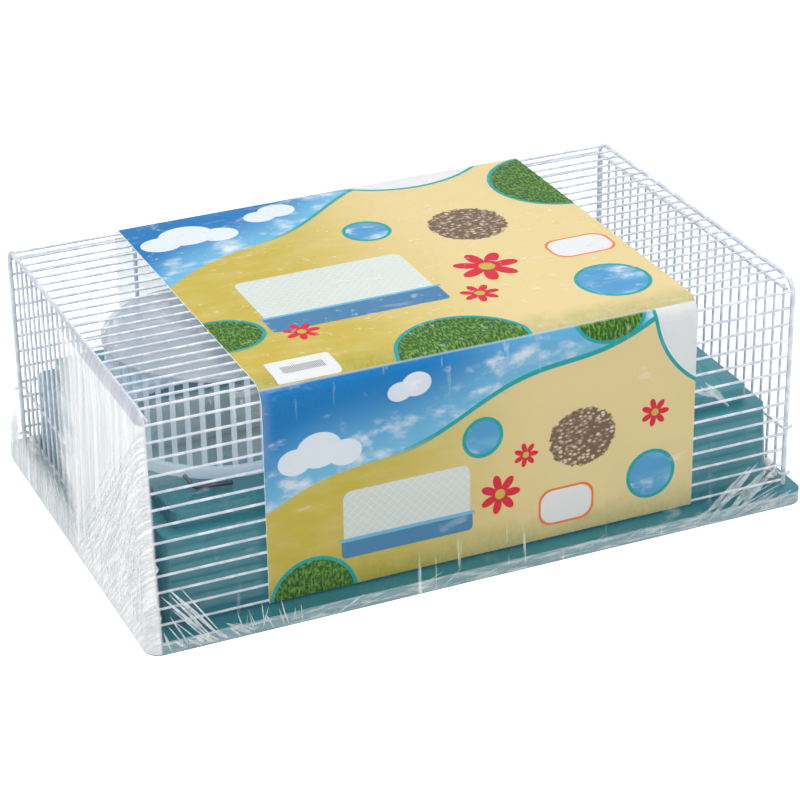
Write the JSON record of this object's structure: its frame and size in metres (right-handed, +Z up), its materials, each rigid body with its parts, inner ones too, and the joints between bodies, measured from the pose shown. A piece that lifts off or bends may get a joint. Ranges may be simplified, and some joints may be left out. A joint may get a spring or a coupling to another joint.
{
  "type": "hamster cage",
  "caption": "Hamster cage packed for sale: a wire body over an upturned plastic tub, its running wheel and accessories inside, in a card sleeve and clear film.",
  "frame": {"origin": "middle of the footprint, on the surface that the tub's upturned rim stands on", "axes": "+X along the cage, to the right seen from the front, +Y towards the back, +Z up"},
  "size_m": [0.4614, 0.2964, 0.161],
  "materials": {
    "wire_paint": "white paint with a cool tint, glossy, on bent steel wire",
    "tub_plastic": "moulded teal plastic, satin gloss",
    "clip_plastic": "moulded white plastic",
    "printed_card": "printed and laminated card",
    "clear_film": "clear shrink film, creased, hazy where it is drawn together",
    "wheel_plastic": "milky blue translucent plastic",
    "white_plastic": "moulded white plastic",
    "steel": "bright steel wire and tube",
    "bottle_plastic": "clear blue-tinted plastic",
    "red_plastic": "moulded red plastic",
    "brown_rubber": "red-brown rubber",
    "pale_blue_plastic": "moulded pale blue plastic",
    "grey_plastic": "moulded grey plastic",
    "clear_plastic": "clear blown plastic, faint blue"
  },
  "bodies": {
    "base": {"tub": "tub_plastic", "wheel_stand": "tub_plastic", "wheel_axle": "steel", "bottle_body": "bottle_plastic", "hanger_rod": "steel", "sealing_ring": "brown_rubber", "food_bowl": "red_plastic", "sleeping_house": "white_plastic", "propeller_mount": "white_plastic", "propeller_pin": "steel", "front_wing": "pale_blue_plastic", "rear_wing": "pale_blue_plastic", "tail_fin": "grey_plastic", "tail_plane": "red_plastic", "clear_dome": "clear_plastic"},
    "wire_body": {"front_grille": "wire_paint", "back_grille": "wire_paint", "top_grille": "wire_paint", "left_end_panel": "wire_paint", "right_end_panel": "wire_paint"},
    "packing": {"card_sleeve": "printed_card", "shrink_film": "clear_film"},
    "door": {"sliding_door": "wire_paint"},
    "clip_left_front": {"clip_left_front": "clip_plastic"},
    "clip_left_back": {"clip_left_back": "clip_plastic"},
    "clip_right_front": {"clip_right_front": "clip_plastic"},
    "clip_right_back": {"clip_right_back": "clip_plastic"},
    "wheel": {"running_wheel": "wheel_plastic"},
    "propeller_spinner": {"propeller": "red_plastic"},
    "cap_and_tube": {"bottle_cap": "red_plastic", "drinking_tube": "steel", "drinking_ball": "steel"}
  },
  "joints": [
    {"name": "wire_body_lift", "type": "slide", "parent": "base", "child": "wire_body", "axis": [0, 0, 1], "range_m": [0, 0.18]},
    {"name": "packing_lift", "type": "slide", "parent": "wire_body", "child": "packing", "axis": [0, 0, 1], "range_m": [0, 0.18]},
    {"name": "door_slide", "type": "slide", "parent": "wire_body", "child": "door", "axis": [0, 0, 1], "range_m": [0, 0.042]},
    {"name": "clip_left_front_turn", "type": "hinge", "parent": "wire_body", "child": "clip_left_front", "pos_m": [-0.2175, -0.121, 0.01873], "axis": [0, 1, 0], "range_deg": [-15, 75]},
    {"name": "clip_left_back_turn", "type": "hinge", "parent": "wire_body", "child": "clip_left_back", "pos_m": [-0.2175, 0.121, 0.01873], "axis": [0, 1, 0], "range_deg": [-15, 75]},
    {"name": "clip_right_front_turn", "type": "hinge", "parent": "wire_body", "child": "clip_right_front", "pos_m": [0.2175, -0.121, 0.01873], "axis": [0, -1, 0], "range_deg": [-15, 75]},
    {"name": "clip_right_back_turn", "type": "hinge", "parent": "wire_body", "child": "clip_right_back", "pos_m": [0.2175, 0.121, 0.01873], "axis": [0, -1, 0], "range_deg": [-15, 75]},
    {"name": "wheel_spin", "type": "hinge", "parent": "base", "child": "wheel", "pos_m": [-0.1345, -0.0225, 0.12], "axis": [0, 0, 1], "continuous": true},
    {"name": "propeller_spin", "type": "hinge", "parent": "base", "child": "propeller_spinner", "pos_m": [0.088, -0.008, 0.0986], "axis": [0, 0, 1], "continuous": true},
    {"name": "bottle_cap_turn", "type": "hinge", "parent": "base", "child": "cap_and_tube", "pos_m": [0.045, -0.087, 0.1013], "axis": [1, 0, 0], "continuous": true}
  ]
}
